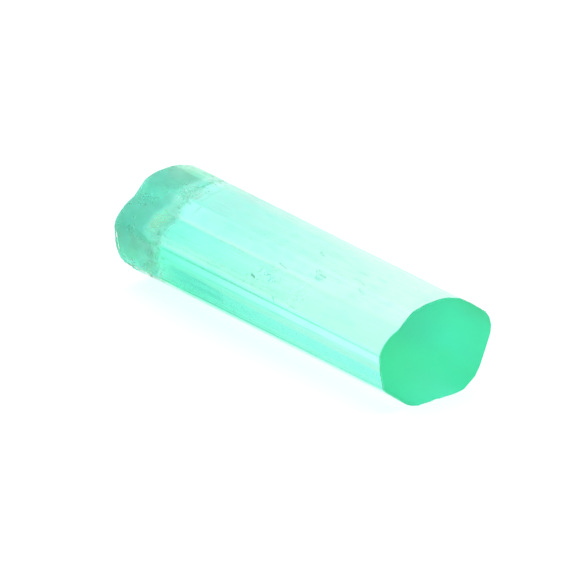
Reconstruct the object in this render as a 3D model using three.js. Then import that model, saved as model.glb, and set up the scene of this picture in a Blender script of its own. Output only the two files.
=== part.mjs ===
// A natural emerald crystal: one slender, rounded hexagonal prism of beryl, lying on its flattest side.
// Millimetres, +Z up. The long axis runs along X, the flat basal end faces +X and the broken end faces -X.
// The origin is the centre of the bounding box's bottom, so the crystal lies on the plane z = 0.

import * as THREE from "three";

// ---------- driving dimensions ----------
const LENGTH = 27.5; // from the flat end to the furthest point of the broken end
const THICKER_AT_BREAK = 1.02; // the prism is a little thicker towards the broken end
const MAX_EDGE = 0.5; // longest step along the section's outline, the resting facet apart
const BODY_STATIONS = 17; // cross-sections between the flat end and the rim of the broken end
const RIM_RADIUS = 0.16; // rounding of the broken end's rim
const RIM_STEPS = 3;
const BREAK_RINGS = 10; // rings of facets on the broken end
const BREAK_LEAN = Math.tan(THREE.MathUtils.degToRad(9)); // the break leans out over the floor towards the top
const BREAK_LEAN_FROM = 3.45; // height below which the break stands upright
const BREAK_TOP = 7.0; // height of the break's top
const DISH = 0.75; // depth of the shallow hollow in the middle of the break
const FOOT = 0.5; // how far the foot of the break is flared out next to the floor
const RIGHT_LEAN = 0.25; // how far the break falls back at its right edge
const LEFT_REACH = 0.24; // how far it stands out at its left edge, low down
const LEFT_BACK = 0.12; // how far it falls back there higher up
const ROUGH_DEPTH = 0.12; // relief of the rough lower part of the break
const SMOOTH_DEPTH = 0.02; // relief of its smoother upper part
const ROUGH_BELOW = 2.2; // height at which rough turns to smooth
const BULGE = 0.1; // swelling of the lower left edge next to the break
const BULGE_REACH = 1.6; // how far it runs along the crystal
const RIPPLE = 0.01; // slow waviness of the prism faces along their length

// The section's outline, [y, z], anticlockwise as seen from the flat end: a six-sided prism whose
// corners are rounded off by narrow growth faces, with a re-entrant groove at the upper left, where
// two growth lobes meet. The third and fourth groups hold the resting facet, exactly at z = 0.
const OUTLINE = [
  // left face
  [-4.502, 4.182], [-4.45, 3.193], [-4.18, 1.87],
  // lower left face
  [-3.9, 1.6], [-2.9, 0.83], [-2.21, 0.305], [-1.765, 0.112],
  // resting facet
  [-1.274, 0], [1.893, 0],
  // rounded lower right
  [2.444, 0.099], [3.381, 0.753], [3.767, 1.367],
  // right face
  [4.209, 2.403], [4.615, 3.42], [4.687, 3.984], [4.529, 4.547], [4.211, 5.02],
  // upper right face
  [3.024, 5.93], [2.081, 6.535],
  // top face
  [1.065, 6.843], [0.44, 6.913], [-0.709, 6.872], [-1.769, 6.648], [-2.216, 6.325],
  // groove, and the shoulder of the second lobe
  [-2.63, 6.014], [-2.816, 5.779], [-3.572, 5.473], [-4.091, 5.038], [-4.39, 4.605],
];
const RESTING_EDGE = 7; // index of the outline edge that is the resting facet
const CENTRE = new THREE.Vector2(0.0, 3.4); // middle of the section

// ---------- section ----------

/** The outline with every edge but the resting facet cut into steps of at most MAX_EDGE. */
function finelyStepped(outline) {
  const points = [];
  outline.forEach(([y, z], i) => {
    const a = new THREE.Vector2(y, z);
    const b = new THREE.Vector2(...outline[(i + 1) % outline.length]);
    const steps = i === RESTING_EDGE ? 1 : Math.ceil(a.distanceTo(b) / MAX_EDGE);
    for (let k = 0; k < steps; k++) points.push(a.clone().lerp(b, k / steps));
  });
  return points;
}

const smoothstep = THREE.MathUtils.smoothstep;

// ---------- broken end ----------

/** Relief of the break at a point of the section: fine hackle low down, nearly smooth higher up. */
function breakRelief(y, z) {
  const hackle =
    0.5 * Math.sin(2.3 * y + 1.1 * z + 0.4) * Math.cos(1.7 * z - 0.9 * y) +
    0.3 * Math.sin(4.1 * y - 3.3 * z + 1.9) +
    0.2 * Math.sin(7.3 * y + 5.9 * z + 0.7);
  const swell = 0.6 * Math.sin(0.8 * y + 0.5) + 0.4 * Math.cos(1.1 * z + 0.3 * y);
  const rough = 1 - smoothstep(z, ROUGH_BELOW - 0.8, ROUGH_BELOW + 0.8);
  return ROUGH_DEPTH * rough * hackle + SMOOTH_DEPTH * swell;
}

const bell = (x, middle, reach) => Math.exp(-(((x - middle) / reach) ** 2));

/**
 * How far the break lies from its outermost point at a point of the section: a shallow hollow that leans
 * out over the floor towards the top, with a flared foot, and an edge that bows out at the lower left.
 */
function breakDepth(y, z) {
  const lean = BREAK_LEAN * (BREAK_TOP - Math.max(z, BREAK_LEAN_FROM));
  const fromMiddle = Math.sqrt(((y - 0.3) / 4.3) ** 2 + ((z - 3.3) / 3.3) ** 2 + 0.03);
  const dish = DISH * Math.max(1 - fromMiddle, 0);
  const foot = FOOT * bell(y, 1.4, 2.0) * (1 - smoothstep(z, 0.2, 2.1));
  const right = RIGHT_LEAN * smoothstep(y, 2.8, 4.6);
  const left = smoothstep(-y, 2.2, 4.0) * (LEFT_REACH * bell(z, 3.0, 1.6) - LEFT_BACK * smoothstep(z, 4.3, 5.4));
  return lean + dish - foot + right - left + 0.01 + breakRelief(y, z);
}

// ---------- prism ----------

/** A point of the prism's side, at the given share of the way from the flat end to the rim. */
function sidePoint(p, share) {
  const scale = 1 + (THICKER_AT_BREAK - 1) * share;
  let y = p.x * scale;
  let z = p.y * scale;
  const xRim = -LENGTH / 2 + breakDepth(y, z) + RIM_RADIUS;
  const x = THREE.MathUtils.lerp(LENGTH / 2, xRim, share);
  // slow waviness, along the outward direction, that leaves the resting facet flat
  const out = p.clone().sub(CENTRE).normalize();
  const lift = smoothstep(p.y, 0.05, 0.8);
  const wave =
    RIPPLE * lift * smoothstep(LENGTH / 2 - x, 0, 2.5) *
    (Math.sin(0.62 * x + 1.3 * p.x) + 0.6 * Math.sin(1.45 * x - 1.9 * p.y + 0.8));
  // swelling of the lower left edge beside the break
  const near = 1 - smoothstep(x + LENGTH / 2, 0.6, BULGE_REACH);
  const low = Math.exp(-(((p.x + 2.7) / 0.95) ** 2) - ((p.y - 0.75) / 0.75) ** 2);
  const push = wave + BULGE * near * low * (0.75 + 0.25 * Math.sin(6 * x + 3 * p.x));
  y += out.x * push;
  z += out.y * push;
  return new THREE.Vector3(x, y, Math.max(z, 0));
}

function emeraldCrystal() {
  const outline = finelyStepped(OUTLINE);
  const n = outline.length;
  const rings = [];

  // sides, from the flat end to the start of the broken rim
  for (let j = 0; j < BODY_STATIONS; j++) {
    const share = j / (BODY_STATIONS - 1);
    rings.push(outline.map((p) => sidePoint(p, share)));
  }
  const rim = rings[rings.length - 1];

  // the rounded rim of the broken end, and the break itself, ring by ring towards the middle
  const middle = CENTRE.clone().multiplyScalar(THICKER_AT_BREAK);
  for (let k = 1; k <= RIM_STEPS; k++) {
    const turn = (k / RIM_STEPS) * (Math.PI / 2);
    rings.push(
      rim.map((v) => {
        const inward = middle.clone().sub(new THREE.Vector2(v.y, v.z)).normalize();
        const inset = RIM_RADIUS * (1 - Math.cos(turn));
        return new THREE.Vector3(
          v.x - RIM_RADIUS * Math.sin(turn),
          v.y + inward.x * inset,
          v.z + inward.y * inset,
        );
      }),
    );
  }
  const edge = rings[rings.length - 1];
  for (let k = 1; k < BREAK_RINGS; k++) {
    const share = 1 - k / BREAK_RINGS;
    rings.push(
      edge.map((v) => {
        const y = middle.x + (v.y - middle.x) * share;
        const z = middle.y + (v.z - middle.y) * share;
        return new THREE.Vector3(-LENGTH / 2 + breakDepth(y, z), y, z);
      }),
    );
  }

  const positions = [];
  rings.forEach((ring) => ring.forEach((v) => positions.push(v.x, v.y, v.z)));
  const centre = positions.length / 3;
  positions.push(-LENGTH / 2 + breakDepth(middle.x, middle.y), middle.x, middle.y);

  const triangles = [];
  for (let j = 0; j < rings.length - 1; j++) {
    for (let i = 0; i < n; i++) {
      const a = j * n + i;
      const b = j * n + ((i + 1) % n);
      const c = b + n;
      const d = a + n;
      triangles.push(a, d, c, a, c, b);
    }
  }
  const last = (rings.length - 1) * n;
  for (let i = 0; i < n; i++) triangles.push(last + i, centre, last + ((i + 1) % n));

  // the flat basal end: one plane at x = LENGTH / 2
  THREE.ShapeUtils.triangulateShape(outline, []).forEach(([a, b, c]) => {
    const turn = outline[b].clone().sub(outline[a]).cross(outline[c].clone().sub(outline[a]));
    triangles.push(...(turn > 0 ? [a, b, c] : [a, c, b]));
  });

  const geometry = new THREE.BufferGeometry();
  geometry.setAttribute("position", new THREE.Float32BufferAttribute(positions, 3));
  geometry.setIndex(triangles);

  // bring the middle of the bounding box's bottom to the origin
  geometry.computeBoundingBox();
  const { min, max } = geometry.boundingBox;
  geometry.translate(-(min.x + max.x) / 2, -(min.y + max.y) / 2, -min.z);
  geometry.computeVertexNormals();
  return geometry;
}

const emerald = new THREE.MeshStandardMaterial({
  color: new THREE.Color().setRGB(0.28, 0.86, 0.66, THREE.SRGBColorSpace),
  roughness: 0.12,
  metalness: 0,
  transparent: true,
  opacity: 0.75,
  flatShading: true,
});

const crystal = new THREE.Mesh(emeraldCrystal(), emerald);
crystal.name = "emerald_crystal";

const part = new THREE.Group();
part.add(crystal);

export default part;
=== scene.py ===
import math

import bpy
import numpy as np
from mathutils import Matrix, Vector


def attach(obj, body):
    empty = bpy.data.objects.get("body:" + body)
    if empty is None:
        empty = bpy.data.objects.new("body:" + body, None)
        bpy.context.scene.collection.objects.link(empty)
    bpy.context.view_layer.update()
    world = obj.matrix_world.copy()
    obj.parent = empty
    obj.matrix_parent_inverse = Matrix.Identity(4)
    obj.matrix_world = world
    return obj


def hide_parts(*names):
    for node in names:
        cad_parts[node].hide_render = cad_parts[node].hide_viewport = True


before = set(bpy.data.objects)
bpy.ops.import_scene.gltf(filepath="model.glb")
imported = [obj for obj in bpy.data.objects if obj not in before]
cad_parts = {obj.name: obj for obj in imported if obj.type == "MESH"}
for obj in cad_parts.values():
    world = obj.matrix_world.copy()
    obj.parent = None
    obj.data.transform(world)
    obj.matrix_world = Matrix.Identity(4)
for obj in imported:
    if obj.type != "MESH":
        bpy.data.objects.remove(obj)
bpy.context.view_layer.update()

MM = 0.001

# ---------------------------------------------------------------- camera
AZIMUTH, ELEVATION = math.radians(51.23), math.radians(23.5)
DISTANCE = 0.750
LENS_PX = 11697.5  # focal length in pixels of a 575-pixel-wide picture
TARGET = (-0.2466, -0.7072, 3.2360)  # in the growth frame, mm
RAISE = 0.04  # moves the picture down by this many millimetres
SHIFT = np.array([-0.0052, -0.0944, 0.0])  # from the growth frame to the row frame

way = Vector(
    (
        math.sin(AZIMUTH) * math.cos(ELEVATION),
        -math.cos(AZIMUTH) * math.cos(ELEVATION),
        math.sin(ELEVATION),
    )
)
cam_data = bpy.data.cameras.new("camera")
cam_data.sensor_fit = "HORIZONTAL"
cam_data.sensor_width = 36.0
cam_data.lens = LENS_PX / 575.0 * 36.0
cam_data.clip_start, cam_data.clip_end = 0.01, 20.0
camera = bpy.data.objects.new("camera", cam_data)
up = (Vector((0, 0, 1)) - way * way.z).normalized()
camera.location = (Vector(TARGET) + Vector(SHIFT.tolist()) + up * RAISE) * MM + way * DISTANCE
camera.rotation_euler = (-way).to_track_quat("-Z", "Y").to_euler()
bpy.context.scene.collection.objects.link(camera)
bpy.context.scene.camera = camera


# ---------------------------------------------------------------- smooth noise
def hash01(ix, iy, iz, seed):
    """A number from 0 to 1 for each lattice point, always the same for the same point and seed."""
    h = (
        ix.astype(np.int64) * 73856093
        ^ iy.astype(np.int64) * 19349663
        ^ iz.astype(np.int64) * 83492791
        ^ np.int64(seed) * 2654435761
    )
    h = (h ^ (h >> 13)) * 1274126177 & 0x7FFFFFFF
    h = (h ^ (h >> 16)) * 668265263 & 0x7FFFFFFF
    return ((h ^ (h >> 15)) & 0xFFFFFF) / float(0xFFFFFF)


def noise3(x, y, z, seed=0):
    """Value noise from -1 to 1 with a smooth fade."""
    x, y, z = (np.asarray(v, float) for v in np.broadcast_arrays(x, y, z))
    ix, iy, iz = np.floor(x), np.floor(y), np.floor(z)
    fx, fy, fz = x - ix, y - iy, z - iz
    fx, fy, fz = (f * f * f * (f * (f * 6 - 15) + 10) for f in (fx, fy, fz))
    total = 0
    for dx in (0, 1):
        for dy in (0, 1):
            for dz in (0, 1):
                w = (fx if dx else 1 - fx) * (fy if dy else 1 - fy) * (fz if dz else 1 - fz)
                total = total + w * hash01(ix + dx, iy + dy, iz + dz, seed)
    return total * 2 - 1


def fractal(x, y, z, seed=0, octaves=4, gain=0.5):
    total, amp, norm = 0, 1.0, 0
    for k in range(octaves):
        total = total + amp * noise3(x * 2**k, y * 2**k, z * 2**k, seed + 17 * k)
        norm += amp
        amp *= gain
    return total / norm


def smoothstep(x, lo, hi):
    t = np.clip((x - lo) / (hi - lo), 0, 1)
    return t * t * (3 - 2 * t)


def bell(x, middle, reach):
    return np.exp(-(((x - middle) / reach) ** 2))


def mix(a, b, t):
    return np.asarray(a) * (1 - t[..., None]) + np.asarray(b) * t[..., None]


# ---------------------------------------------------------------- the crystal's section
LENGTH = 27.5
THICKER = 1.02
OUTLINE = np.array(
    [
        [-4.502, 4.182], [-4.45, 3.193], [-4.18, 1.87],
        [-3.9, 1.6], [-2.9, 0.83], [-2.21, 0.305], [-1.765, 0.112],
        [-1.274, 0.0], [1.893, 0.0],
        [2.444, 0.099], [3.381, 0.753], [3.767, 1.367],
        [4.209, 2.403], [4.615, 3.42], [4.687, 3.984], [4.529, 4.547], [4.211, 5.02],
        [3.024, 5.93], [2.081, 6.535],
        [1.065, 6.843], [0.44, 6.913], [-0.709, 6.872], [-1.769, 6.648], [-2.216, 6.325],
        [-2.63, 6.014], [-2.816, 5.779], [-3.572, 5.473], [-4.091, 5.038], [-4.39, 4.605],
    ]
)
CENTRE = np.array([0.0, 3.4])


def softened(loop, reach, step):
    """A closed loop of evenly spaced points with its corners rounded off over the given reach."""
    k = int(4 * reach / step)
    kernel = np.exp(-0.5 * (np.arange(-k, k + 1) * step / reach) ** 2)
    kernel /= kernel.sum()
    return np.stack([np.convolve(np.concatenate([p[-k:], p, p[:k]]), kernel, "valid") for p in loop.T], 1)


def dense_section(count, soften):
    """The outline as count evenly spaced points with softened corners, its outward normals and its running length."""
    fine = []
    for a, b in zip(OUTLINE, np.roll(OUTLINE, -1, 0)):
        n = max(2, int(np.linalg.norm(b - a) / 0.004))
        fine.append(a + (b - a) * (np.arange(n) / n)[:, None])
    fine = np.concatenate(fine)
    step = np.linalg.norm(np.roll(fine, -1, 0) - fine, axis=1)
    run = np.concatenate([[0], np.cumsum(step)])
    even = np.arange(0, run[-1], 0.004)
    loop = np.vstack([fine, fine[:1]])
    pts = np.stack([np.interp(even, run, loop[:, k]) for k in (0, 1)], 1)
    # the groove and the shoulder are rounder than the rest
    away = np.where(even > 9.6, even - run[-1], even)
    round_here = (smoothstep(away, -3.5, -3.0) * (1 - smoothstep(away, -1.0, -0.6)))[:, None]
    pts = softened(pts, soften, 0.004) * (1 - round_here) + softened(pts, 0.2, 0.004) * round_here
    step = np.linalg.norm(np.roll(pts, -1, 0) - pts, axis=1)
    run = np.concatenate([[0], np.cumsum(step)])
    at = np.arange(count) * run[-1] / count
    loop = np.vstack([pts, pts[:1]])
    out = np.stack([np.interp(at, run, loop[:, k]) for k in (0, 1)], 1)
    tangent = np.roll(out, -1, 0) - np.roll(out, 1, 0)
    normal = np.stack([tangent[:, 1], -tangent[:, 0]], 1)
    normal /= np.linalg.norm(normal, axis=1)[:, None]
    return out, normal, at, run[-1]


# ---------------------------------------------------------------- the broken end
DISH = 0.75
FOOT = 0.5
RIGHT_LEAN = 0.25
LEFT_REACH = 0.24
ROUGH = 0.12
SWELL = 0.02


def break_depth(y, z):
    """How far the break lies from its outermost point: a shallow shell-shaped hollow that leans out towards the top, with a flared foot near the floor."""
    lean = math.tan(math.radians(9)) * (7.0 - np.maximum(z, 3.45))
    r = np.sqrt(((y - 0.3) / 4.3) ** 2 + ((z - 3.3) / 3.3) ** 2 + 0.03)
    dish = DISH * np.maximum(1 - r, 0)
    foot = FOOT * bell(y, 1.4, 2.0) * (1 - smoothstep(z, 0.2, 2.1))
    right = RIGHT_LEAN * smoothstep(y, 2.8, 4.6)
    left = LEFT_REACH * bell(z, 3.0, 1.6) - 0.12 * smoothstep(z, 4.3, 5.4)
    groove = 0.12 * bell(y, -2.5, 0.8) * smoothstep(z, 5.0, 6.0)
    return lean + dish - foot + right + groove - left * smoothstep(-y, 2.2, 4.0) + 0.01


def bruised(x, y, z):
    """From 0 to 1, how crumbled the surface is: the foot of the break and the last millimetre of the sides beside it."""
    low = 1 - smoothstep(z + 0.5 * fractal(x * 0.9, y * 0.9, z * 0.9, 71, 2), 1.3, 2.7)
    end = smoothstep(-x + 0.5 * fractal(x * 0.8, y * 1.3, z * 1.3, 73, 2), 12.2, 13.0)
    return low * end


def crumble(x, y, z):
    """Fine granular relief from -1 to 1, for the crumbled parts."""
    return 0.6 * fractal(x * 2.6, y * 2.6, z * 2.6, 81, 3) + 0.4 * noise3(x * 9, y * 9, z * 9, 83)


# ---------------------------------------------------------------- the crystal
AROUND = 600
RIM = 0.16
RIM_STEPS = 6
RINGS = 42
CAP_RINGS = 10
BEVEL = 0.04
RIPPLE = 0.004
BULGE = 0.1
STRIAE = 0.0016

FACE_FROST = 0.03
UNDER_FROST = 1.0
BREAK_FROST = 0.45
BRUISE_FROST = 0.6
CAP_FROST = 0.35

SIDE_TINT_FAR = (0.46, 1.0, 0.98)
SIDE_TINT_NEAR = (1.0, 1.0, 1.0)
LEFT_TINT_FAR = (0.06, 0.96, 0.61)
LEFT_LOW = (0.75, 0.95, 0.86)
LOW_EDGE = (0.26, 0.80, 0.70)
LOW_RIM = (0.60, 0.88, 0.82)
LEFT_TINT_NEAR = (0.40, 1.0, 0.90)
BAND_TINT_FAR = (0.01, 0.90, 0.53)
BAND_TINT_NEAR = (0.13, 1.0, 0.88)
PATCH_TINT = (0.0, 0.70, 0.42)
# painted shade: grey-green tints that darken the broken end
END_SHADE_TINT = (0.31, 0.51, 0.485)
END_SHADE_TINT_LOW = (0.15, 0.39, 0.325)
MOTTLE_TINT = (0.72, 0.84, 0.80)
MOTTLE_LOW = (0.34, 0.70, 0.58)
SPECK_TINT = (0.26, 0.50, 0.42)
CHALK_TINT = (0.86, 0.80, 0.60)
PALE_TINT = (1.0, 1.0, 0.93)
BREAK_TINT = (0.04, 1.0, 1.0)
CAP_TINT = (0.01, 0.96, 0.64)
EDGE_TINT = (0.12, 0.70, 0.52)


def striae(run, x):
    """Growth lines along the prism, from -1 to 1: several widths, each fading in and out along the crystal."""
    fade = 0.55 + 0.45 * noise3(run * 1.1, x * 0.11, 0 * x, 41)
    fine = noise3(run * 7.0, x * 0.025, 0 * x, 43)
    finer = noise3(run * 13.0, x * 0.05, 0 * x, 47)
    return fade * (0.65 * fine + 0.35 * finer)


def line(x, u, at, width, start, stop, dashes=0.0, seed=0):
    """From 0 to 1: a straight growth line along the prism at running length at, between two stations, solid or dashed."""
    wander = 0.012 * noise3(x * 0.5, 0 * x + at * 7, 0 * x, 61 + seed)
    along = smoothstep(x, start - 1.2, start) * (1 - smoothstep(x, stop, stop + 1.6))
    gaps = 1 - dashes * smoothstep(noise3(x * 0.9, 0 * x + at * 3, 0 * x, 63 + seed), -0.15, 0.25)
    return bell(u + wander, at, width) * along * gaps


def grooves(x, u):
    """Depth, from 0 to 1, of the few distinct growth lines on the left side."""
    return (
        (0.8 - 0.6 * smoothstep(x, -4, 4)) * line(x, u, -0.15, 0.045, -8.0, 7.0, 0.3, 5)
        + 0.7 * line(x, u, 0.47, 0.03, -8.2, 7.0, 0.7)
        + 0.3 * line(x, u, -2.02, 0.08, -9.0, 1.0, 0.4, 7)
        + 0.5 * line(x, u, 1.05, 0.025, -2.0, 12.0, 0.3, 9)
        + 0.5 * line(x, u, 2.2, 0.05, -8.5, 12.5, 0.3, 11)
    )


def side_finish(x, u):
    """Frost and tint of the sides, from the station x and the running length u away from the left corner."""
    x, u = np.broadcast_arrays(x, u)
    zero = 0 * x
    tint = mix(SIDE_TINT_FAR, SIDE_TINT_NEAR, smoothstep(x, -12, 16))
    lines = striae(u, x)
    cloud = fractal(x * 0.3, u * 0.55, zero, 51, 3)
    wisp = np.maximum(cloud, 0)[..., None]
    tint = tint * (1 - wisp * np.array([0.16, 0.015, 0.05]))
    blotch = fractal(x * 0.9, u * 1.7, zero, 52, 4)
    top = smoothstep(u, -7.2, -6.4) * (1 - smoothstep(u, -0.5, 0.0))
    shoulder = smoothstep(u, -2.75, -2.35) * (1 - smoothstep(u, -0.5, -0.3))
    tint = mix(tint, (1.0, 1.0, 1.0), shoulder * (0.9 - 0.25 * np.abs(cloud)))
    tint = mix(tint, (1.0, 1.0, 1.0), (0.38 + 0.3 * smoothstep(x, -8, 2)) * smoothstep(-u, 6.1, 6.6))

    # the resting side is nearly colourless towards the flat end
    beneath = smoothstep(u, 4.1, 4.8) * smoothstep(x, -12, 3)
    # left face: greener, painted shade for the long light paths through it, with the growth lines showing
    left = smoothstep(u, -0.55, -0.1) * (1 - smoothstep(u, 3.2, 4.1))
    tint = mix(tint, mix(LEFT_TINT_FAR, LEFT_TINT_NEAR, smoothstep(x, -9, 9)), left)
    tint = mix(tint, tint * np.array(LEFT_LOW), left * smoothstep(u, 0.35, 0.5))
    tint = tint * (1 - (left * bell(u, 0.52, 0.1) * (1 - 0.5 * smoothstep(x, 3, 10)))[..., None] * np.array([0.42, 0.05, 0.09]))
    tint = tint * (1 - (left * 0.30 * np.maximum(lines, 0))[..., None] * np.array([1.0, 0.12, 0.25]))
    # deeper green along its lower edge, wider towards the broken end: painted shade
    start = 1.04 - 0.2 * (1 - smoothstep(x, -6, -1))
    band = smoothstep(u + 0.07 * lines, start - 0.10, start + 0.08) * (1 - smoothstep(u, 3.2, 4.1))
    band = band * (1 - 0.45 * smoothstep(u, 1.65, 2.0) * smoothstep(x, -6, 6)) * smoothstep(x, -8.6, -6.6)
    tint = mix(tint, mix(BAND_TINT_FAR, BAND_TINT_NEAR, smoothstep(x, -9, 9)), band)
    # dark patch with fine bright lines in it
    patch = (
        smoothstep(x + 0.6 * noise3(x, u * 5, zero, 53), -7.6, -6.0)
        * (1 - smoothstep(x, -2.5, -2.2))
        * smoothstep(u + 0.1 * noise3(x * 0.7, u, zero, 54), 0.8, 1.1)
        * (1 - smoothstep(u, 1.6, 1.95))
    )
    grain = 0.5 + 0.5 * noise3(u * 13, x * 0.3, zero, 57) + 0.35 * noise3(u * 29, x * 0.5, zero, 59)
    tint = mix(tint, PATCH_TINT, patch * np.clip(0.3 + 0.75 * grain, 0, 1))
    tint = tint * (1 - np.maximum(blotch, 0)[..., None] * np.array([0.30, 0.02, 0.06]))
    tint = mix(tint, (1.0, 1.0, 1.0), beneath)
    # distinct lines
    cut = (np.clip(grooves(x, u), 0, 1) * (1 - 0.5 * smoothstep(x, 0, 8)))[..., None]
    tint = tint * (1 - cut * np.array([0.62, 0.22, 0.30]))
    # edge between the top face and the pale facets beside it
    edge = bell(u + 0.02 * noise3(x * 0.4, zero, zero, 58), -6.46, 0.07) * smoothstep(x, -11, -9)
    tint = tint * (1 - edge[..., None] * np.array([0.05, 0.01, 0.02]))

    # painted shade at the broken end: a grey-green tint that darkens it, mottled where it fades out
    wander = fractal(x * 0.9, u * 0.9, zero, 55, 3)
    low = smoothstep(u, -0.6, 0.4)
    seen = smoothstep(u, -9.6, -8.4) * (1 - smoothstep(u, 3.3, 4.4))
    at = -10.45 + 1.25 * low + (0.5 + 0.5 * low) * wander + 0.4 * bell(u, -3.05, 0.45) - 0.3 * smoothstep(-u, 4.6, 5.6)
    end_shade = (1 - smoothstep(x - at, -0.35, 0.4)) * seen
    pale = smoothstep(-u + 0.15 * wander, 6.05, 6.5) * (1 - smoothstep(-u, 8.6, 9.4))
    end_shade = end_shade * (1 - pale) * (1 - 0.3 * bell(u, -3.25, 0.4) * (1 - smoothstep(x, -11.6, -10.8)))
    speck = smoothstep(fractal(x * 2.4, u * 2.4, zero, 56, 3), 0.02, 0.4)
    fade = smoothstep(x, -11.6, -10.6) * (1 - smoothstep(x + 0.7 * wander, -9.5, -8.5)) * (1 - pale) * seen
    fade = fade * (1 - 0.8 * smoothstep(-u, 4.6, 5.6))
    tint = mix(tint, mix(MOTTLE_TINT, MOTTLE_LOW, low), fade * (1 - end_shade) * 0.8)
    grit = fractal(x * 3.2, u * 3.2, zero, 60, 3)
    chalk = np.exp(-((((x + 0.25 * wander + 9.85) / 0.66) ** 2 + ((u + 0.2 * grit + 1.65) / 1.0) ** 2) ** 2))
    tint = mix(tint, CHALK_TINT, np.clip(chalk * (0.8 + 0.5 * grit), 0, 1))
    deep = mix(END_SHADE_TINT, END_SHADE_TINT_LOW, smoothstep(u, -3.3, -1.2)) * (1 + 0.12 * np.maximum(grit, -0.5)[..., None])
    tint = mix(tint, deep, end_shade * (0.9 + 0.1 * wander) * (1 - chalk) * (1 - 0.4 * smoothstep(u, 0.6, 1.9)))
    dots = speck * fade * (0.4 + 0.6 * smoothstep(x, -9.8, -9.2)) * (1 - 0.75 * chalk)
    ridge = bell(x + 0.3 * wander, -9.0, 0.28) * bell(u, -1.6, 1.4) * smoothstep(grit, -0.2, 0.3)
    tint = mix(tint, SPECK_TINT, np.clip(0.6 * dots * (1 - 0.6 * low) + 0.7 * ridge, 0, 1))
    tint = mix(tint, PALE_TINT, pale * (1 - smoothstep(x, -10.4, -8.6)))
    # paler towards the lower left edge
    edge_on = smoothstep(x, -11.4, -10.6) * (1 - smoothstep(x, -9.4, -8.8)) * smoothstep(u, 0.5, 1.0) * (1 - smoothstep(u, 2.4, 2.8))
    tint = mix(tint, LOW_EDGE, edge_on * np.clip(0.75 + 0.5 * grit, 0, 1))
    rim_on = (1 - smoothstep(x, -10.2, -9.2)) * bell(u + 0.12 * grit, 2.25, 0.3)
    tint = mix(tint, LOW_RIM, rim_on * np.clip(0.8 + 0.5 * grit, 0, 1))
    # brown stain high on the far side
    stain = bell(x, -8.0, 0.6) * bell(u, -7.75, 0.35) * (0.7 + 0.3 * wander)
    tint = mix(tint, (1.0, 0.72, 0.55), np.clip(stain, 0, 1) * 0.9)

    frost = FACE_FROST + 0.10 * end_shade + 0.25 * fade * (1 - low) + 0.15 * left * band + 0.25 * chalk
    ledge = smoothstep(u, -3.6, -2.6) * (1 - smoothstep(u, -0.5, 0.0))
    frost = frost + (0.18 + 0.24 * smoothstep(x, 2.5, 9)) * ledge + 0.07 * left
    return frost, np.clip(tint, 0, 1)


def cap_tint(y, z):
    """Tint of the flat end: nearly even, with faint straight-edged zones."""
    a = smoothstep(y - 0.18 * (z - 3.4) + 0.1, -0.06, 0.06)
    b = smoothstep(0.75 * (y - 1.0) + (z - 4.4), -0.05, 0.05)
    c = smoothstep(0.5 * (y + 2.0) - (z - 3.0), -0.06, 0.06)
    shade = 1 - 0.01 * a + 0.03 * b * a - 0.015 * c * (1 - a)
    mottle = 1 + 0.01 * fractal(y * 0.8, z * 0.8, 0 * y, 95, 3)
    tint = np.array(CAP_TINT) * (shade * mottle)[..., None]
    corner = smoothstep(-y - 0.3 * (z - 3.4), 0.0, 4.0)
    tint[..., 0] *= (1 - 0.97 * corner) * (1 + 0.06 * b)
    right = smoothstep(y, 1.5, 4.0)
    tint[..., 1] *= (1 - 0.10 * corner) * (1 - 0.06 * right)
    tint[..., 2] *= (1 - 0.34 * corner) * (1 - 0.14 * right)
    return tint


def break_tint(y, z):
    """Tint of the break: nearly colourless at its upper right."""
    return mix(BREAK_TINT, (0.7, 1.0, 1.0), smoothstep(y, -0.2, 1.3) * smoothstep(z, 4.0, 5.5))


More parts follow.
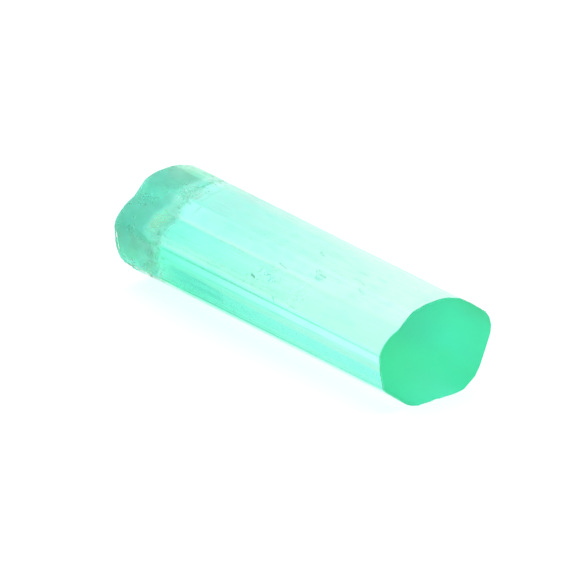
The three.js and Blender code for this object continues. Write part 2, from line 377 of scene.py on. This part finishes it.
def build_crystal():
    section, normal, run, total = dense_section(AROUND, 0.03)
    n = AROUND
    y0, z0 = section[:, 0][None, :], section[:, 1][None, :]
    ny, nz = normal[:, 0][None, :], normal[:, 1][None, :]
    r = run[None, :]
    u = np.where(run > 9.6, run - total, run)[None, :]
    shares = np.concatenate([np.linspace(0, 0.62, 40), np.linspace(0.62, 0.9, 34)[1:], np.linspace(0.9, 1, 28)[1:]])
    s = shares[:, None]
    scale = 1 + (THICKER - 1) * s
    # the corners are worn round near the break
    worn = softened(section, 0.35, total / n)
    wear = 0.4 * smoothstep(s, 0.90, 0.99)
    y = (y0 + (worn[:, 0][None, :] - y0) * wear) * scale
    z = (z0 + (worn[:, 1][None, :] - z0) * wear) * scale
    x_rim = -LENGTH / 2 + break_depth(y, z) + RIM
    x = LENGTH / 2 * (1 - s) + x_rim * s
    lift = smoothstep(z0, 0.05, 0.8)
    off_end = smoothstep(LENGTH / 2 - x, 0, 2.5)
    push = (
        RIPPLE * lift * off_end
        * (np.sin(0.62 * x + 1.3 * y0) + 0.6 * np.sin(1.45 * x - 1.9 * z0 + 0.8))
    )
    # growth striae: a few micrometres deep, strongest on the left and right faces
    lined = 0.25 + 0.75 * smoothstep(np.abs(ny), 0.45, 0.85)
    push = push + STRIAE * lined * lift * striae(r, x)
    push = push - 0.012 * grooves(x, u + 0 * x) * off_end
    # crumbled edge beside the foot of the break
    hurt = bruised(x, y, z)
    push = push + ROUGH * hurt * (crumble(x, y, z) - 0.4)
    # swollen, ragged edge at the lower left
    near = 1 - smoothstep(x + LENGTH / 2, 0.7, 2.2)
    low = bell(y0, -2.9, 1.0) * bell(z0, 0.85, 0.85)
    push = push + BULGE * near * low * (0.8 + 0.5 * crumble(x * 0.8, y, z))
    y = y + ny * push
    z = z + nz * push
    under = smoothstep(y0, -2.9, -2.1) * (1 - smoothstep(y0, 1.7, 2.9)) * (1 - smoothstep(z0, 0.35, 0.8))
    z = np.maximum(z, 0)
    # small chips along the flat end's lower edge
    chipped = smoothstep(x, 13.50, 13.72) * bell(y0, 0.5, 1.3) * (1 - smoothstep(z0, 0.1, 0.3))
    z = z + 0.075 * chipped * smoothstep(fractal(y * 2.3, x * 1.5, 0 * y, 97, 3), -0.15, 0.35)

    frost, tint = side_finish(x, u)
    frost = frost * (1 - under) + UNDER_FROST * under
    frost = frost * (1 - hurt) + BRUISE_FROST * hurt
    rings = [np.stack([x[j], y[j], z[j]], 1) for j in range(len(shares))]
    frosts = [frost[j] for j in range(len(shares))]
    tints = [tint[j] for j in range(len(shares))]

    # rim of the broken end, then the break, ring by ring towards its middle
    rim = rings[-1]
    middle = CENTRE * THICKER
    for k in range(1, RIM_STEPS + 1):
        turn = k / RIM_STEPS * math.pi / 2
        inward = middle - rim[:, 1:]
        inward /= np.linalg.norm(inward, axis=1)[:, None]
        q = rim.copy()
        q[:, 0] -= RIM * math.sin(turn)
        q[:, 1:] += inward * RIM * (1 - math.cos(turn))
        rings.append(q)
        h = bruised(q[:, 0], q[:, 1], q[:, 2])
        frosts.append(BREAK_FROST + (BRUISE_FROST - BREAK_FROST) * h)
        tints.append(mix(tints[len(shares) - 1], break_tint(q[:, 1], q[:, 2]), np.full(n, k / RIM_STEPS)))
    edge = rings[-1]
    for k in range(1, RINGS):
        share = 1 - k / RINGS
        yz = middle + (edge[:, 1:] - middle) * share
        q = np.column_stack([-LENGTH / 2 + break_depth(yz[:, 0], yz[:, 1]), yz])
        inner = smoothstep(np.full(n, 1 - share), 0.0, 0.08)
        h = bruised(q[:, 0], q[:, 1], q[:, 2]) * inner
        q[:, 0] += ROUGH * h * (crumble(q[:, 0], q[:, 1], q[:, 2]) + 0.2)
        q[:, 0] += SWELL * fractal(q[:, 1] * 0.9, q[:, 2] * 0.9, 0 * h, 91, 3) * (1 - h) * inner
        rings.append(q)
        frosts.append(BREAK_FROST + (BRUISE_FROST - BREAK_FROST) * h)
        tints.append(break_tint(q[:, 1], q[:, 2]))

    # flat basal end: bevel, then rings towards its middle
    first = rings[0].copy()
    inner = first.copy()
    inner[:, 1:] -= normal * BEVEL
    rings[0][:, 0] -= BEVEL
    front, front_frost, front_tint = [inner], [np.full(n, CAP_FROST)], [np.tile(EDGE_TINT, (n, 1))]
    behind = first.copy()
    behind[:, 0] -= BEVEL + 0.01
    rings.insert(1, behind)
    tints.insert(1, tints[0])
    frosts.insert(1, frosts[0])
    tints[0] = np.tile(EDGE_TINT, (n, 1))
    for k in range(1, CAP_RINGS + 1):
        share = 1 - (0.006 if k == 1 else (k - 1) / CAP_RINGS)
        q = inner.copy()
        q[:, 1:] = CENTRE + (inner[:, 1:] - CENTRE) * share
        front.append(q)
        front_frost.append(np.full(n, CAP_FROST))
        front_tint.append(cap_tint(q[:, 1], q[:, 2]))
    rings = front[::-1] + rings
    frosts = front_frost[::-1] + frosts
    tints = front_tint[::-1] + tints

    top = np.array([[LENGTH / 2, CENTRE[0], CENTRE[1]]])
    tip = np.array([[-LENGTH / 2 + break_depth(middle[0], middle[1]), middle[0], middle[1]]])
    verts = np.vstack([np.concatenate(rings), top, tip]) + SHIFT
    frost = np.concatenate(frosts + [[CAP_FROST], [BREAK_FROST]])
    tint = np.vstack(tints + [np.array([CAP_TINT]), np.array([BREAK_TINT])])
    relief = np.concatenate(
        [np.zeros((len(front) + 2) * n), np.full((len(shares) - 1) * n, 0.2), np.full((RIM_STEPS + RINGS - 1) * n, 0.5), [0.0, 0.5]]
    )

    faces = []
    for j in range(len(rings) - 1):
        a = j * n + np.arange(n)
        b = j * n + (np.arange(n) + 1) % n
        faces.extend(np.stack([a, a + n, b + n, b], 1).tolist())
    last = (len(rings) - 1) * n
    near_mid, far_mid = len(verts) - 2, len(verts) - 1
    faces.extend([[last + i, far_mid, last + (i + 1) % n] for i in range(n)])
    fan = len(faces)
    faces.extend([[near_mid, i, (i + 1) % n] for i in range(n)])
    mesh = bpy.data.meshes.new("emerald_prism")
    mesh.from_pydata((verts * MM).tolist(), [], faces)
    mesh.update()
    smooth = np.ones(len(faces), bool)
    smooth[fan:] = False
    smooth[: CAP_RINGS * n] = False
    mesh.polygons.foreach_set("use_smooth", smooth)
    for name, values in (("frost", frost), ("relief", relief)):
        mesh.attributes.new(name, "FLOAT", "POINT").data.foreach_set("value", values.astype(np.float32))
    rgba = np.ones((len(verts), 4))
    rgba[:, :3] = np.clip(tint, 0, 1)
    mesh.attributes.new("tint", "FLOAT_COLOR", "POINT").data.foreach_set("color", rgba.astype(np.float32).ravel())
    ob = bpy.data.objects.new("emerald_prism", mesh)
    bpy.context.scene.collection.objects.link(ob)
    return ob


crystal = build_crystal()


# ---------------------------------------------------------------- materials
def new_material(name):
    m = bpy.data.materials.new(name)
    m.use_nodes = True
    m.node_tree.nodes.clear()
    return m, m.node_tree.nodes, m.node_tree.links


def noise_node(nodes, links, source, stretch, detail, rough=0.5):
    """A noise texture whose pattern is stretched along the axes."""
    place = nodes.new("ShaderNodeMapping")
    place.inputs["Scale"].default_value = stretch
    links.new(source, place.inputs["Vector"])
    tex = nodes.new("ShaderNodeTexNoise")
    tex.inputs["Scale"].default_value = 1.0
    tex.inputs["Detail"].default_value = detail
    tex.inputs["Roughness"].default_value = rough
    links.new(place.outputs[0], tex.inputs["Vector"])
    return tex.outputs["Fac"]


def ranged(nodes, links, value, lo, hi, low_at=0.3, high_at=0.7):
    node = nodes.new("ShaderNodeMapRange")
    node.inputs["From Min"].default_value = low_at
    node.inputs["From Max"].default_value = high_at
    node.inputs["To Min"].default_value = lo
    node.inputs["To Max"].default_value = hi
    links.new(value, node.inputs["Value"])
    return node.outputs["Result"]


def times(nodes, links, a, b):
    node = nodes.new("ShaderNodeMath")
    node.operation = "MULTIPLY"
    links.new(a, node.inputs[0])
    links.new(b, node.inputs[1])
    return node.outputs[0]


ABSORB = (38.0, 1.0, 11.0)
BUMP = 0.0000015


def beryl():
    """Clear green beryl: tint and frost come from the growth zones, with painted shade on the left face and at the
    broken end, and fine lines along the prism.
    """
    m, nodes, links = new_material("beryl")
    out = nodes.new("ShaderNodeOutputMaterial")
    p = nodes.new("ShaderNodeBsdfPrincipled")
    where = nodes.new("ShaderNodeTexCoord").outputs["Object"]
    frost = nodes.new("ShaderNodeAttribute")
    frost.attribute_name = "frost"
    tint = nodes.new("ShaderNodeAttribute")
    tint.attribute_name = "tint"
    relief = nodes.new("ShaderNodeAttribute")
    relief.attribute_name = "relief"
    # colour: faint growth lines along the prism and soft cloudiness
    lines = noise_node(nodes, links, where, (60.0, 5200.0, 5200.0), 3.0)
    clouds = noise_node(nodes, links, where, (420.0, 700.0, 700.0), 4.0)
    shade = nodes.new("ShaderNodeMix")
    shade.data_type = "RGBA"
    shade.blend_type = "MULTIPLY"
    shade.inputs["B"].default_value = (0.90, 0.985, 0.97, 1)
    links.new(times(nodes, links, ranged(nodes, links, lines, 0, 1), ranged(nodes, links, clouds, 0.2, 1)), shade.inputs["Factor"])
    links.new(tint.outputs["Color"], shade.inputs["A"])
    links.new(shade.outputs["Result"], p.inputs["Base Color"])
    # roughness: the frost of each zone, a little uneven
    wear = noise_node(nodes, links, where, (2600.0, 2600.0, 2600.0), 3.0)
    links.new(times(nodes, links, frost.outputs["Fac"], ranged(nodes, links, wear, 0.82, 1.18)), p.inputs["Roughness"])
    # bump: the finest lines, and hackle on the break
    fine = noise_node(nodes, links, where, (160.0, 9000.0, 9000.0), 2.0)
    bump = nodes.new("ShaderNodeBump")
    bump.inputs["Distance"].default_value = BUMP
    links.new(relief.outputs["Fac"], bump.inputs["Strength"])
    links.new(fine, bump.inputs["Height"])
    links.new(bump.outputs[0], p.inputs["Normal"])
    p.inputs["IOR"].default_value = 1.58
    p.inputs["Transmission Weight"].default_value = 1.0
    links.new(p.outputs[0], out.inputs["Surface"])
    v = nodes.new("ShaderNodeVolumeAbsorption")
    v.inputs["Color"].default_value = (*[1 - a / 200.0 for a in ABSORB], 1)
    v.inputs["Density"].default_value = 200.0
    links.new(v.outputs[0], out.inputs["Volume"])
    return m


crystal.data.materials.append(beryl())


def speckled(name, colours, per_mm, roughness, bump_mm):
    """An uneven matt material: its colour wanders between three tones, with a granular bump."""
    m, nodes, links = new_material(name)
    out = nodes.new("ShaderNodeOutputMaterial")
    p = nodes.new("ShaderNodeBsdfPrincipled")
    where = nodes.new("ShaderNodeTexCoord").outputs["Object"]
    k = per_mm * 1000.0
    tone = noise_node(nodes, links, where, (k, k, k), 4.0, 0.6)
    ramp = nodes.new("ShaderNodeValToRGB")
    stops = ramp.color_ramp.elements
    stops[0].position, stops[0].color = 0.34, (*colours[0], 1)
    stops[1].position, stops[1].color = 0.66, (*colours[2], 1)
    stops.new(0.5).color = (*colours[1], 1)
    links.new(tone, ramp.inputs["Fac"])
    links.new(ramp.outputs["Color"], p.inputs["Base Color"])
    grit = noise_node(nodes, links, where, (3 * k, 3 * k, 3 * k), 3.0)
    links.new(ranged(nodes, links, grit, *roughness), p.inputs["Roughness"])
    bump = nodes.new("ShaderNodeBump")
    bump.inputs["Strength"].default_value = 0.6
    bump.inputs["Distance"].default_value = bump_mm * MM
    links.new(grit, bump.inputs["Height"])
    links.new(bump.outputs[0], p.inputs["Normal"])
    links.new(p.outputs[0], out.inputs["Surface"])
    return m


# ---------------------------------------------------------------- inclusions and grains
SECTION, NORMAL, RUN, TOTAL = dense_section(AROUND, 0.03)
LOOK = -np.array(way)


def on_side(x, u):
    """A point of the side at station x and running length u from the left corner, and its outward normal."""
    at = np.mod(u, TOTAL)
    loop = np.concatenate([RUN, [TOTAL]])
    y, z = (np.interp(at, loop, np.append(SECTION[:, k], SECTION[0, k])) for k in (0, 1))
    ny, nz = (np.interp(at, loop, np.append(NORMAL[:, k], NORMAL[0, k])) for k in (0, 1))
    scale = 1 + (THICKER - 1) * (LENGTH / 2 - x) / LENGTH
    return np.array([x, y * scale, z * scale]) + SHIFT, np.array([0.0, ny, nz]) / math.hypot(ny, nz)


def inward(normal):
    """The direction that a ray along the line of sight takes inside the crystal."""
    k = 1 / 1.58
    c = -LOOK @ normal
    d = k * LOOK + (k * c - math.sqrt(1 - k * k * (1 - c * c))) * normal
    return d / np.linalg.norm(d)


def within(x, u, depth):
    point, normal = on_side(x, u)
    return point + inward(normal) * depth


def ball():
    """Points and faces of a small sphere of 80 triangles."""
    g = (1 + 5**0.5) / 2
    p = [(-1, g, 0), (1, g, 0), (-1, -g, 0), (1, -g, 0), (0, -1, g), (0, 1, g), (0, -1, -g), (0, 1, -g), (g, 0, -1), (g, 0, 1), (-g, 0, -1), (-g, 0, 1)]
    p = [np.array(v, float) / np.linalg.norm(v) for v in p]
    f = [(0, 11, 5), (0, 5, 1), (0, 1, 7), (0, 7, 10), (0, 10, 11), (1, 5, 9), (5, 11, 4), (11, 10, 2), (10, 7, 6), (7, 1, 8), (3, 9, 4), (3, 4, 2), (3, 2, 6), (3, 6, 8), (3, 8, 9), (4, 9, 5), (2, 4, 11), (6, 2, 10), (8, 6, 7), (9, 8, 1)]
    mids, faces = {}, []

    def mid(a, b):
        key = (min(a, b), max(a, b))
        if key not in mids:
            m = p[a] + p[b]
            p.append(m / np.linalg.norm(m))
            mids[key] = len(p) - 1
        return mids[key]

    for a, b, c in f:
        ab, bc, ca = mid(a, b), mid(b, c), mid(c, a)
        faces += [(a, ab, ca), (b, bc, ab), (c, ca, bc), (ab, bc, ca)]
    return np.array(p), np.array(faces)


BALL, BALL_FACES = ball()


def lumps(name, specs, seed, material, craggy=0.35, floor_z=None):
    """Irregular lumps joined in one mesh. Each is its middle, its long and its thin direction, and its three radii."""
    rng = np.random.default_rng(seed)
    verts, faces = [], []
    for k, (middle, long_way, thin_way, radii) in enumerate(specs):
        a = np.asarray(long_way, float)
        a /= np.linalg.norm(a)
        c = np.asarray(thin_way, float)
        c = c - a * (c @ a)
        c /= np.linalg.norm(c)
        b = np.cross(c, a)
        off = rng.uniform(-50, 50, 3)
        q = BALL * (1 + craggy * noise3(*(BALL * 1.7 + off).T, seed)[:, None])
        q = np.sign(q) * np.abs(q) ** 0.85
        local = (q[:, :1] * a * radii[0] + q[:, 1:2] * b * radii[1] + q[:, 2:] * c * radii[2]) + middle
        if floor_z is not None:
            local[:, 2] = np.maximum(local[:, 2], floor_z)
        verts.append(local)
        faces.append(BALL_FACES + k * len(BALL))
    verts, faces = np.vstack(verts), np.vstack(faces)
    mesh = bpy.data.meshes.new(name)
    mesh.from_pydata((verts * MM).tolist(), [], faces.tolist())
    mesh.update()
    mesh.materials.append(material)
    ob = bpy.data.objects.new(name, mesh)
    bpy.context.scene.collection.objects.link(ob)
    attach(ob, "root")
    return ob


def any_way(rng):
    v = rng.normal(size=3)
    return v / np.linalg.norm(v)


def mark(x0, u0, x1, u1, depth, wide, thin=0.02, pieces=1, jitter=0.0, seed=0):
    """Thin flakes along a stroke between two places, seen through the side."""
    rng = np.random.default_rng(seed)
    out = []
    for k in range(pieces):
        t0, t1 = k / pieces, (k + 0.8) / pieces
        p = within(x0 + (x1 - x0) * t0, u0 + (u1 - u0) * t0 + jitter * rng.uniform(-1, 1), depth)
        q = within(x0 + (x1 - x0) * t1, u0 + (u1 - u0) * t1 + jitter * rng.uniform(-1, 1), depth)
        _, normal = on_side(x0, u0)
        size = np.linalg.norm(q - p) / 2
        w = wide * rng.uniform(0.7, 1.3)
        out.append(((p + q) / 2, q - p if size > 1e-3 else any_way(rng), inward(normal), (max(size, w), w, thin)))
    return out


def make_inclusions():
    dark = speckled("inclusion_dark", [(0.03, 0.18, 0.10), (0.08, 0.32, 0.22), (0.14, 0.44, 0.32)], 14, (0.5, 0.8), 0.004)
    faint = speckled("inclusion_faint", [(0.42, 0.84, 0.72), (0.55, 0.92, 0.84), (0.66, 0.96, 0.92)], 14, (0.5, 0.8), 0.004)
    pale = speckled("inclusion_pale", [(0.42, 0.88, 0.92), (0.52, 0.94, 0.96), (0.66, 0.98, 0.98)], 14, (0.4, 0.7), 0.003)
    strokes = mark(0.05, -1.25, 0.62, -1.05, 0.7, 0.045, 0.02, 3, 0.02, 1)
    strokes += mark(0.10, -1.10, 0.50, -1.16, 0.75, 0.03, 0.02, 2, 0.03, 2)
    strokes += mark(1.35, -2.72, 2.3, -2.58, 0.6, 0.018, 0.012, 4, 0.01, 3)
    lumps("dark_flecks", strokes, 301, dark)
    soft = mark(3.2, -4.85, 3.8, -4.65, 0.8, 0.05, 0.02, 3, 0.05, 4)
    soft += mark(4.45, -3.45, 5.6, -3.25, 0.9, 0.05, 0.02, 6, 0.12, 5)
    soft += mark(4.7, -2.95, 5.2, -2.85, 0.9, 0.035, 0.02, 3, 0.05, 6)
    soft += mark(7.6, -4.15, 8.8, -3.98, 0.8, 0.035, 0.015, 6, 0.06, 7)
    soft += mark(8.6, -3.6, 9.3, -3.3, 0.8, 0.04, 0.015, 4, 0.10, 8)
    soft += mark(8.3, -2.95, 9.2, -2.85, 0.8, 0.03, 0.015, 4, 0.05, 9)
    soft += mark(0.1, -5.4, 0.3, -5.35, 0.7, 0.04, 0.015, 1, 0.0, 10)
    soft += mark(0.95, -5.9, 1.3, -5.85, 0.7, 0.03, 0.015, 2, 0.03, 11)
    soft += mark(11.7, -5.9, 12.0, -5.8, 0.7, 0.03, 0.015, 2, 0.03, 12)
    soft += mark(3.7, -5.5, 4.9, -5.3, 0.9, 0.03, 0.015, 5, 0.08, 13)
    soft += mark(2.85, -0.55, 3.1, -0.2, 0.5, 0.05, 0.02, 3, 0.05, 14)
    soft += mark(4.6, -0.5, 5.1, -0.45, 0.5, 0.04, 0.02, 3, 0.05, 15)
    soft += mark(-2.4, -3.4, -2.0, -3.3, 0.8, 0.03, 0.015, 2, 0.05, 16)
    soft += mark(-5.6, -4.4, -5.2, -4.3, 0.8, 0.03, 0.015, 2, 0.05, 17)
    lumps("faint_flecks", soft, 302, faint)
    # a wavy veil of tiny bubbles, and hair-fine growth tubes along the prism
    rng = np.random.default_rng(41)
    veil = []
    for _ in range(150):
        s, t = rng.normal(0, 0.55), rng.normal(0, 0.3)
        point = within(1.35 + s, -1.75 + t + 0.25 * math.sin(2.6 * s), 0.9 + 0.2 * math.sin(3 * s + 2 * t))
        r = rng.uniform(0.012, 0.034)
        veil.append((point, any_way(rng), any_way(rng), (r * 1.5, r, r * 0.8)))
    for _ in range(70):
        s, t = rng.normal(0, 0.35), rng.normal(0, 0.2)
        r = rng.uniform(0.012, 0.03)
        veil.append((within(5.0 + s, -3.1 + t, 1.0 + 0.1 * s), any_way(rng), any_way(rng), (r * 1.5, r, r * 0.8)))
    lumps("bubble_veils", veil, 303, pale)
    tubes = []
    for _ in range(26):
        x, u, d = rng.uniform(-8, 11), rng.uniform(-6.2, -0.6), rng.uniform(0.3, 2.2)
        size = rng.uniform(0.5, 2.0)
        r = rng.uniform(0.007, 0.012)
        tubes.append((within(x, u, d), (1, 0, 0), any_way(rng), (min(size, 12.8 - abs(x)), r, r)))
    lumps("growth_tubes", tubes, 304, faint, 0.1)


def make_grains():
    chalky = speckled("matrix_pale", [(0.74, 0.84, 0.70), (0.88, 0.94, 0.86), (0.97, 0.99, 0.95)], 6, (0.75, 1.0), 0.02)
    earthy = speckled("matrix_dark", [(0.36, 0.58, 0.48), (0.50, 0.70, 0.60), (0.66, 0.82, 0.72)], 6, (0.75, 1.0), 0.02)

    def at_break(y, z, inset):
        return np.array([-LENGTH / 2 + break_depth(np.array(y), np.array(z)) + inset, y, z]) + SHIFT

    def grain(rng, point, r):
        return (point, any_way(rng), any_way(rng), tuple(r * rng.uniform(0.6, 1.3, 3)))

    def covered(y, z):
        return -1.4 < y < 3.4 and z > 0.2 + 0.8 * max(y - 2.2, 0)

    rng = np.random.default_rng(57)
    pale, dark = [], []
    for _ in range(130):
        y, z = rng.normal(0.9, 0.75), rng.normal(1.35, 0.55)
        if -0.8 < y < 2.7 and 0.3 < z < 2.7:
            pale.append(grain(rng, at_break(y, z, rng.uniform(0.12, 0.4)), rng.uniform(0.035, 0.11)))
    for _ in range(70):
        y, z = rng.uniform(-1.0, 3.5), abs(rng.normal(0.9, 0.9)) + 0.1
        if z < 3.0 and covered(y, z):
            kind = pale if rng.random() < 0.6 else dark
            kind.append(grain(rng, at_break(y, z, rng.uniform(0.12, 0.45)), rng.uniform(0.02, 0.06)))
    for _ in range(60):
        y = rng.uniform(-0.6, 3.2)
        z = 0.1 + 0.75 * max(y - 2.4, 0) + abs(rng.normal(0, 0.3))
        x = rng.uniform(-13.1, -12.1)
        if covered(y, z + 0.1):
            dark.append(grain(rng, np.array([x, y, z + 0.1]) + SHIFT, rng.uniform(0.02, 0.06)))
    # cracks close behind the break
    for path, count, r in (
        ([(-12.84, 1.73, 0.12), (-13.05, 2.4, 0.25), (-13.35, 3.4, 1.45)], 60, 0.03),
        ([(-12.25, 2.38, 0.2), (-11.88, 3.2, 0.95), (-11.5, 3.7, 1.8)], 46, 0.022),
    ):
        path = np.array(path)
        for t in np.linspace(0, len(path) - 1.001, count):
            k = int(t)
            p = path[k] + (path[k + 1] - path[k]) * (t - k) + rng.normal(0, 0.025, 3)
            pale.append(grain(rng, p + SHIFT, r * rng.uniform(0.6, 1.3)))
    lumps("pale_grains", pale, 311, chalky, 0.4, 0.03)
    lumps("dark_grains", dark, 312, earthy, 0.4, 0.03)
    # crust along the lower left edge beside the break
    crust, stain = [], []
    for _ in range(60):
        x = rng.uniform(-13.0, -8.9)
        u = 2.5 + 0.35 * math.sin(1.7 * x) * rng.random() + rng.normal(0, 0.3)
        point, normal = on_side(x, u)
        kind = crust if rng.random() < 0.85 else stain
        kind.append(grain(rng, point + normal * rng.uniform(-0.03, 0.03), rng.uniform(0.025, 0.065)))
    lumps("edge_crust", crust, 313, speckled("crust_pale", [(0.50, 0.80, 0.68), (0.64, 0.88, 0.78), (0.80, 0.95, 0.88)], 6, (0.75, 1.0), 0.02), 0.4, 0.0)
    lumps("edge_stain", stain, 314, speckled("crust_dark", [(0.32, 0.54, 0.42), (0.46, 0.66, 0.54), (0.60, 0.78, 0.66)], 6, (0.75, 1.0), 0.02), 0.4, 0.0)
    # chalky crust in patches on the shoulder, with a few darker specks along its edge
    patch, specks = [], []
    while len(patch) < 120:
        x, u = rng.normal(-9.85, 0.42), rng.normal(-1.6, 0.55)
        if ((x + 9.85) / 0.7) ** 2 + ((u + 1.6) / 0.95) ** 2 < 1 + 0.3 * rng.normal():
            point, normal = on_side(x, u)
            r = rng.uniform(0.035, 0.085)
            patch.append((point, np.cross(normal, any_way(rng)), normal, (r * 1.3, r, 0.012)))
    for _ in range(90):
        x, u = rng.normal(-9.15, 0.28), rng.uniform(-5.2, -0.2)
        point, normal = on_side(x, u)
        r = rng.uniform(0.02, 0.055)
        kind = patch if rng.random() < 0.4 else specks
        kind.append((point, np.cross(normal, any_way(rng)), normal, (r * 1.3, r, 0.010)))
    lumps("shoulder_crust", patch, 316, speckled("crust_chalk", [(0.24, 0.86, 0.60), (0.32, 0.92, 0.68), (0.42, 0.96, 0.74)], 9, (0.75, 1.0), 0.01), 0.4)
    lumps("shoulder_specks", specks, 317, speckled("crust_green", [(0.14, 0.58, 0.42), (0.22, 0.66, 0.50), (0.32, 0.74, 0.58)], 9, (0.75, 1.0), 0.01), 0.4)
    # painted highlight on the rim: white flakes that glow faintly, standing in for a glint
    white = speckled("rim_glint_painted", [(0.86, 0.9, 0.88), (0.93, 0.95, 0.94), (1.0, 1.0, 1.0)], 8, (0.3, 0.6), 0.01)
    a, na = on_side(-13.12, 0.35)
    b, _ = on_side(-13.0, 1.5)
    # painted highlight: the flakes glow so that they stay white
    white.node_tree.nodes["Principled BSDF"].inputs["Emission Color"].default_value = (1, 1, 1, 1)
    white.node_tree.nodes["Principled BSDF"].inputs["Emission Strength"].default_value = 0.3
    flakes = []
    for t in np.linspace(0.04, 0.96, 9):
        wide = 0.015 + 0.05 * math.sin(math.pi * t) ** 0.8
        flakes.append((a + (b - a) * t + na * 0.008, b - a + 0.06 * any_way(rng), na, (0.11, wide, 0.014)))
    lumps("rim_glint_painted", flakes, 315, white, 0.5)


make_inclusions()
make_grains()

# ---------------------------------------------------------------- floor
FLOOR_ALBEDO = 0.45
FLOOR_GLOW = 0.70


def build_floor():
    n = 24
    half = 1.5
    g = np.linspace(-half, half, n + 1)
    xx, yy = np.meshgrid(g, g)
    verts = np.stack([xx.ravel(), yy.ravel(), np.full(xx.size, -0.00002)], 1)
    faces = []
    for j in range(n):
        for i in range(n):
            a = j * (n + 1) + i
            faces.append([a, a + 1, a + n + 2, a + n + 1])
    mesh = bpy.data.meshes.new("floor")
    mesh.from_pydata(verts.tolist(), [], faces)
    ob = bpy.data.objects.new("floor", mesh)
    bpy.context.scene.collection.objects.link(ob)
    m, nodes, links = new_material("pale_floor")
    out = nodes.new("ShaderNodeOutputMaterial")
    p = nodes.new("ShaderNodeBsdfPrincipled")
    where = nodes.new("ShaderNodeTexCoord").outputs["Object"]
    grain = noise_node(nodes, links, where, (90.0, 90.0, 90.0), 5.0)
    tone = nodes.new("ShaderNodeMix")
    tone.data_type = "RGBA"
    tone.inputs["A"].default_value = (FLOOR_ALBEDO, FLOOR_ALBEDO, FLOOR_ALBEDO, 1)
    tone.inputs["B"].default_value = (FLOOR_ALBEDO * 0.96, FLOOR_ALBEDO * 0.97, FLOOR_ALBEDO * 0.97, 1)
    links.new(ranged(nodes, links, grain, 0, 1), tone.inputs["Factor"])
    links.new(tone.outputs["Result"], p.inputs["Base Color"])
    links.new(ranged(nodes, links, grain, 0.9, 1.0), p.inputs["Roughness"])
    p.inputs["Specular IOR Level"].default_value = 0.0
    p.inputs["Emission Color"].default_value = (1, 1, 1, 1)
    p.inputs["Emission Strength"].default_value = FLOOR_GLOW
    links.new(p.outputs[0], out.inputs["Surface"])
    mesh.materials.append(m)
    return ob


floor = build_floor()

# ---------------------------------------------------------------- light
WORLD_LIGHT = 1.0
WORLD_FRONT = 0.2
WORLD_FROM = -0.6
WORLD_TO = 0.15

world = bpy.data.worlds.new("studio")
world.use_nodes = True
bg = world.node_tree.nodes["Background"]
bg.inputs[0].default_value = (1, 1, 1, 1)
wn, wl = world.node_tree.nodes, world.node_tree.links
where = wn.new("ShaderNodeTexCoord")
dot = wn.new("ShaderNodeVectorMath")
dot.operation = "DOT_PRODUCT"
wl.new(where.outputs["Generated"], dot.inputs[0])
dot.inputs[1].default_value = (-0.78, 0.626, 0.0)
ramp = wn.new("ShaderNodeMapRange")
ramp.interpolation_type = "SMOOTHSTEP"
ramp.inputs["From Min"].default_value = WORLD_FROM
ramp.inputs["From Max"].default_value = WORLD_TO
ramp.inputs["To Min"].default_value = WORLD_FRONT
ramp.inputs["To Max"].default_value = WORLD_LIGHT
wl.new(dot.outputs["Value"], ramp.inputs["Value"])
wl.new(ramp.outputs["Result"], bg.inputs[1])
bpy.context.scene.world = world

SOFTBOX_POWER = 3.0
lamp = bpy.data.lights.new("softbox", "AREA")
lamp.shape = "RECTANGLE"
lamp.size, lamp.size_y = 0.9, 0.9
lamp.energy = SOFTBOX_POWER
top = bpy.data.objects.new("softbox", lamp)
top.location = (0, 0, 0.8)
bpy.context.scene.collection.objects.link(top)

scene = bpy.context.scene
scene.view_settings.view_transform = "Standard"
scene.cycles.max_bounces = 32
scene.cycles.transmission_bounces = 32
scene.cycles.glossy_bounces = 16
scene.cycles.diffuse_bounces = 6
scene.cycles.transparent_max_bounces = 16
scene.cycles.caustics_refractive = True
scene.cycles.caustics_reflective = True
scene.cycles.blur_glossy = 0.0
scene.cycles.sample_clamp_indirect = 0.0

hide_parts("emerald_crystal")
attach(crystal, "root")
